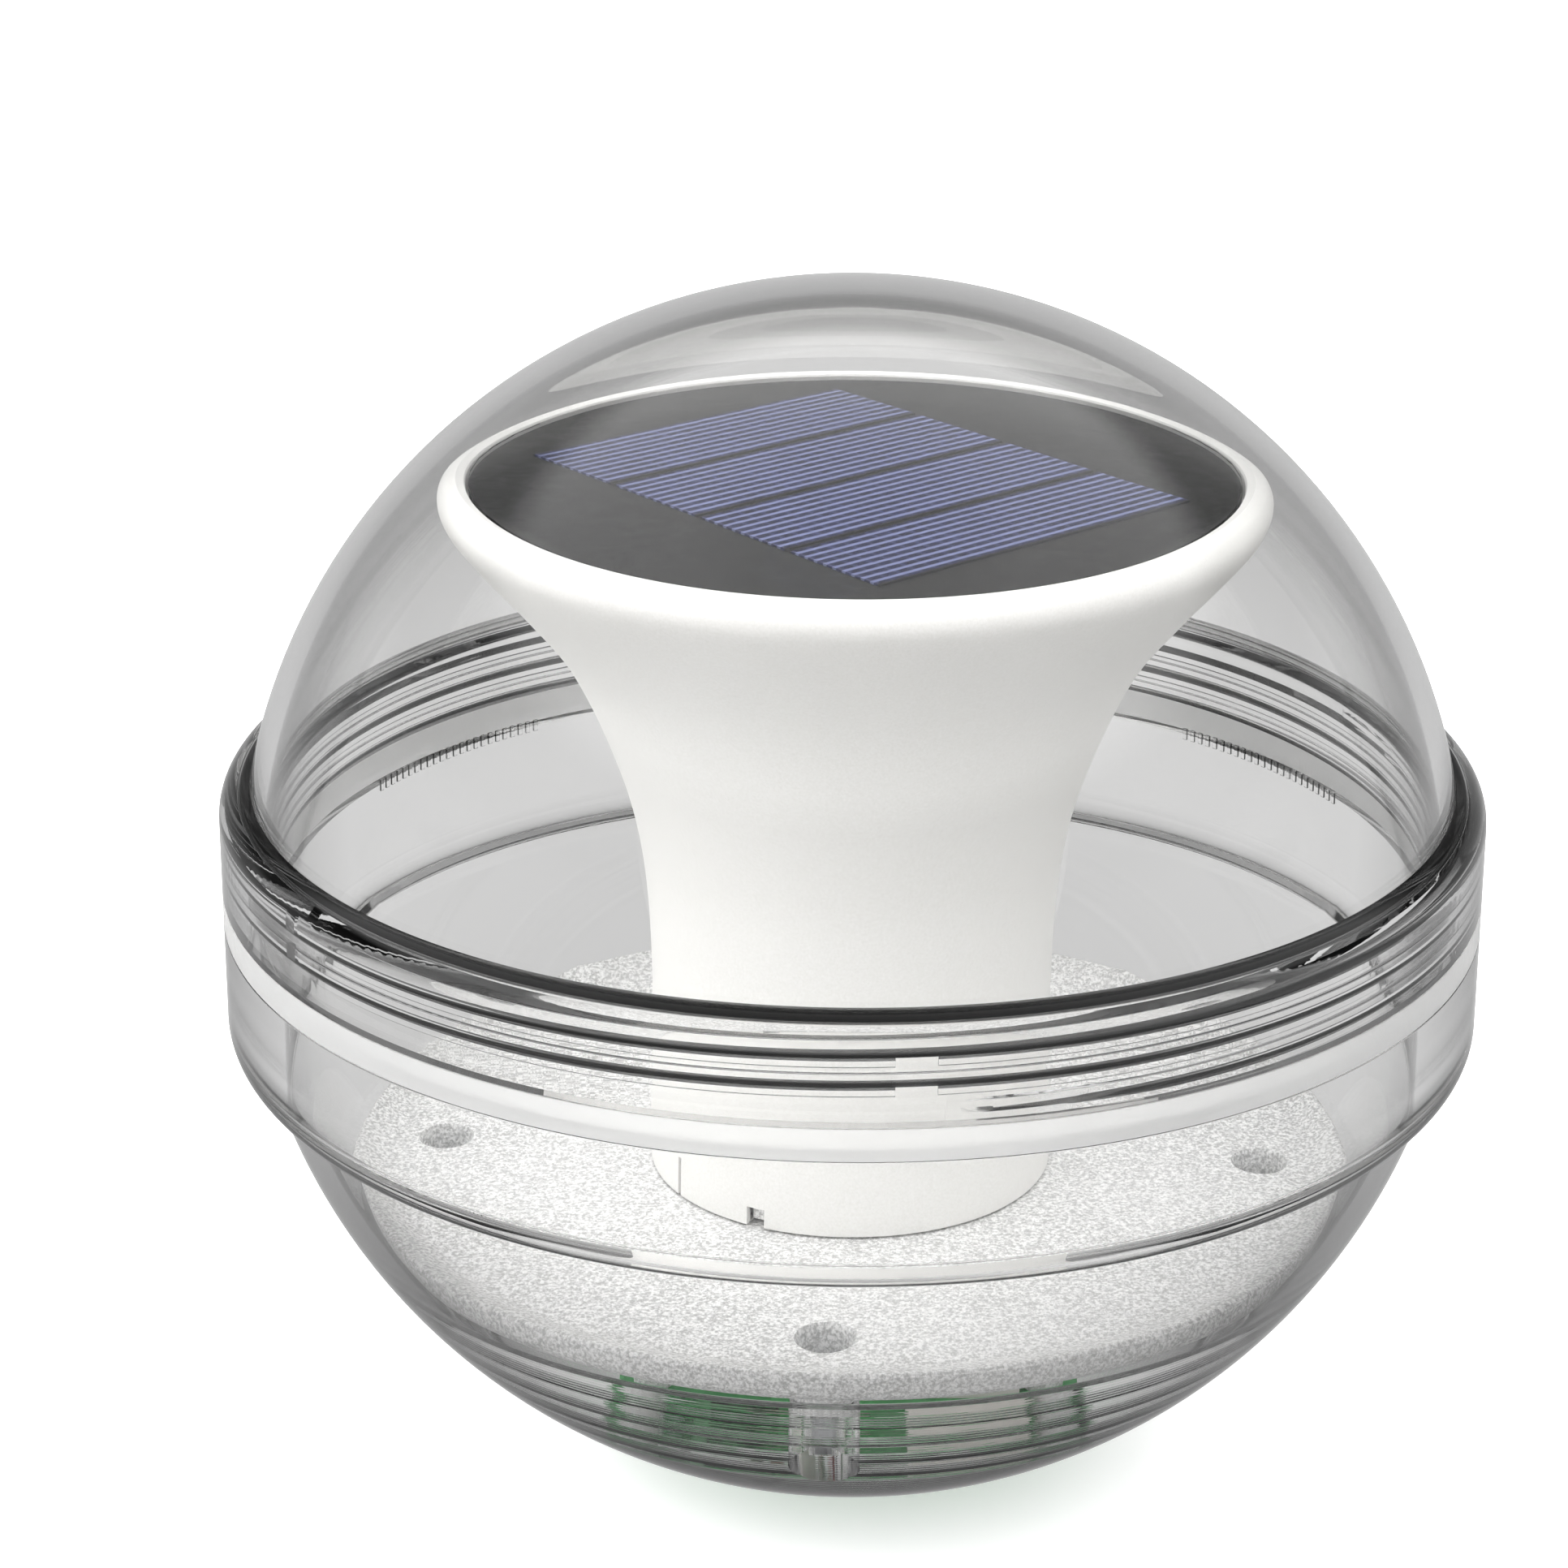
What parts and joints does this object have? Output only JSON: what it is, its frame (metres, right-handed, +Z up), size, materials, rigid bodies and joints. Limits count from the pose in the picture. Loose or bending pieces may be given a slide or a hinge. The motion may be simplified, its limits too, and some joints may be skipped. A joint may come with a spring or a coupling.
{
  "type": "floating pool light",
  "caption": "Clear screw-together floating ball with a seal at its equator, holding a frosted trumpet lamp body topped by a round solar panel.",
  "frame": {"origin": "middle of the flat foot under the bowl", "axes": "+Z up along the ball's axis, +Y to the back, where the button is"},
  "size_m": [0.15, 0.15, 0.145],
  "materials": {
    "clear_plastic": "clear polished",
    "seal_silicone": "smooth matt",
    "plate_plastic": "fine grain",
    "frosted_plastic": "fine grain, translucent",
    "panel_black": "satin",
    "cell_blue": "silicon with printed fingers",
    "panel_clear": "clear resin",
    "board_green": "solder mask",
    "board_white": "white solder mask",
    "emitter": "phosphor",
    "steel": "plated",
    "black_plastic": "moulded",
    "white_plastic": "moulded",
    "battery_sleeve": "shrink sleeve over a metal can",
    "wire_red": "insulation",
    "wire_black": "insulation",
    "button_grey": "moulded"
  },
  "bodies": {
    "bowl": {"lower_bowl": "clear_plastic", "base_plate": "plate_plastic", "control_board": "board_green", "switch_board": "board_green", "light_board": "board_white", "led_1": "emitter", "led_2": "emitter", "led_3": "emitter", "led_4": "emitter", "led_5": "emitter", "led_6": "emitter", "plate_screw_1": "steel", "plate_screw_2": "steel", "plate_screw_3": "steel", "plate_screw_4": "steel", "light_board_screw_1": "steel", "light_board_screw_2": "steel", "board_screw_1": "steel", "board_screw_2": "steel", "board_screw_3": "steel", "board_screw_4": "steel", "capacitor": "steel", "battery_contact": "steel", "battery_spring": "steel", "controller_chip": "black_plastic", "inductor": "black_plastic", "power_switch": "black_plastic", "battery_holder": "white_plastic", "panel_connector": "white_plastic", "light_connector": "white_plastic", "light_lead": "white_plastic", "switch_lead": "white_plastic", "battery": "battery_sleeve", "panel_lead_plus": "wire_red", "panel_lead_minus": "wire_black"},
    "seal": {"seal_ring": "seal_silicone"},
    "dome": {"upper_dome": "clear_plastic"},
    "lamp": {"lamp_body": "frosted_plastic", "solar_board": "panel_black", "solar_cell_1": "cell_blue", "solar_cell_2": "cell_blue", "solar_cell_3": "cell_blue", "solar_cell_4": "cell_blue", "panel_cover": "panel_clear"},
    "button": {"power_button": "button_grey"}
  },
  "joints": [
    {"name": "dome_lift", "type": "slide", "parent": "bowl", "child": "seal", "axis": [0, 0, 1], "range_m": [0, 0.0103]},
    {"name": "dome_turn", "type": "hinge", "parent": "seal", "child": "dome", "pos_m": [0, 0, 0.072], "axis": [0, 0, 1], "range_deg": [0, 1080]},
    {"name": "lamp_twist", "type": "hinge", "parent": "bowl", "child": "lamp", "pos_m": [0, 0, 0.072], "axis": [0, 0, 1], "range_deg": [0, 29]},
    {"name": "button_press", "type": "slide", "parent": "bowl", "child": "button", "axis": [0, 0, -1], "range_m": [0, 0.0008], "stiffness_N_per_m": 400}
  ],
  "couplings": [
    {"joint": "dome_lift", "follows": "dome_turn", "m_per_rad": 0.00054113}
  ]
}
